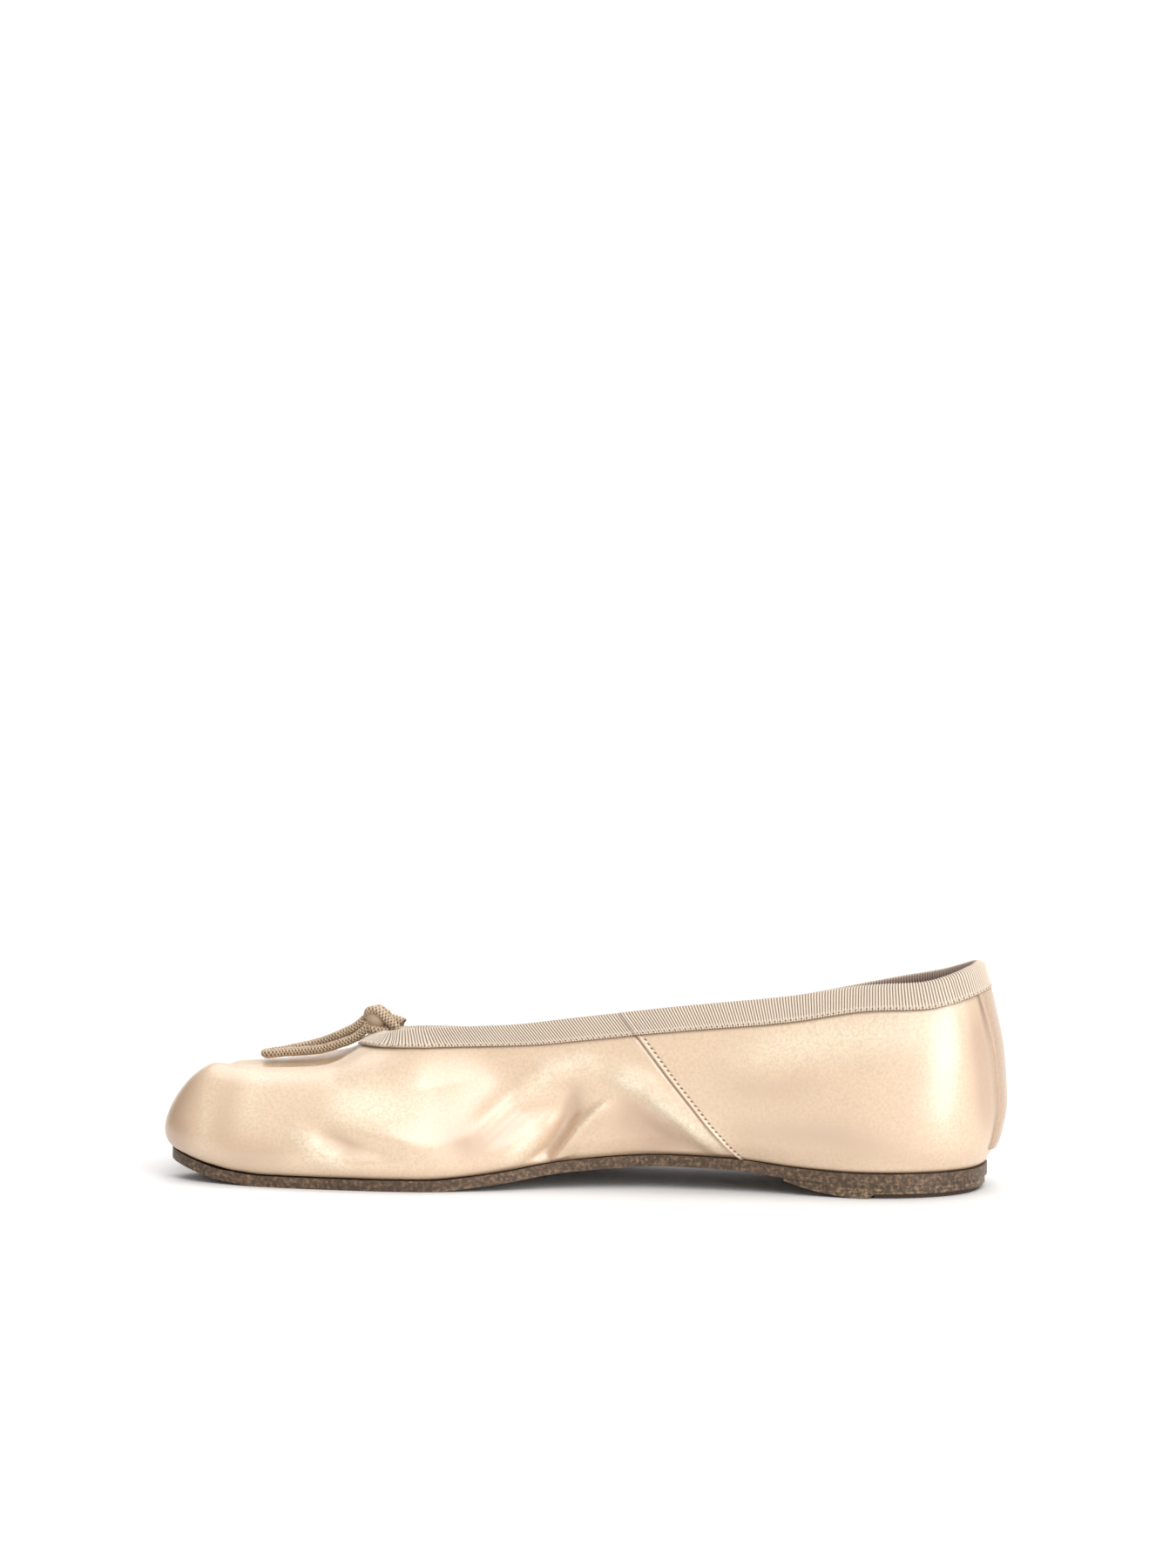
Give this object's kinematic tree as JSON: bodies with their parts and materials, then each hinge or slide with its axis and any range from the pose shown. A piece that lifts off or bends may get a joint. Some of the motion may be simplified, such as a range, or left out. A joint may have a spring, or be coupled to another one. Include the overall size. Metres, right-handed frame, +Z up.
{
  "type": "split-toe ballet flat",
  "caption": "Right split-toe ballet flat in satin with a ribbed collar binding, a small cord bow, a heel tab, a leather sole and a low wedge heel lift.",
  "frame": {"origin": "on the floor under the middle of the shoe's box, its bow left aside", "axes": "+X from toe to heel, -Y the inner (medial) side, +Z up"},
  "size_m": [0.2524, 0.084, 0.0676],
  "materials": {
    "peach_satin": "peach satin with a soft sheen",
    "taupe_grosgrain": "ribbed taupe ribbon",
    "brown_braid": "flat braided cord",
    "sole_leather": "stained smooth leather",
    "lining_leather": "smooth lining leather",
    "dark_rubber": "dark matt rubber"
  },
  "bodies": {
    "root": {"outsole": "sole_leather", "heel_lift": "sole_leather", "heel_top_piece": "dark_rubber", "insole": "lining_leather", "upper": "peach_satin", "topline_binding": "taupe_grosgrain", "heel_tab": "peach_satin", "bow_knot": "brown_braid", "bow_loop_front": "brown_braid", "bow_loop_side": "brown_braid", "bow_end_back": "brown_braid", "bow_end_side": "brown_braid"}
  },
  "joints": []
}
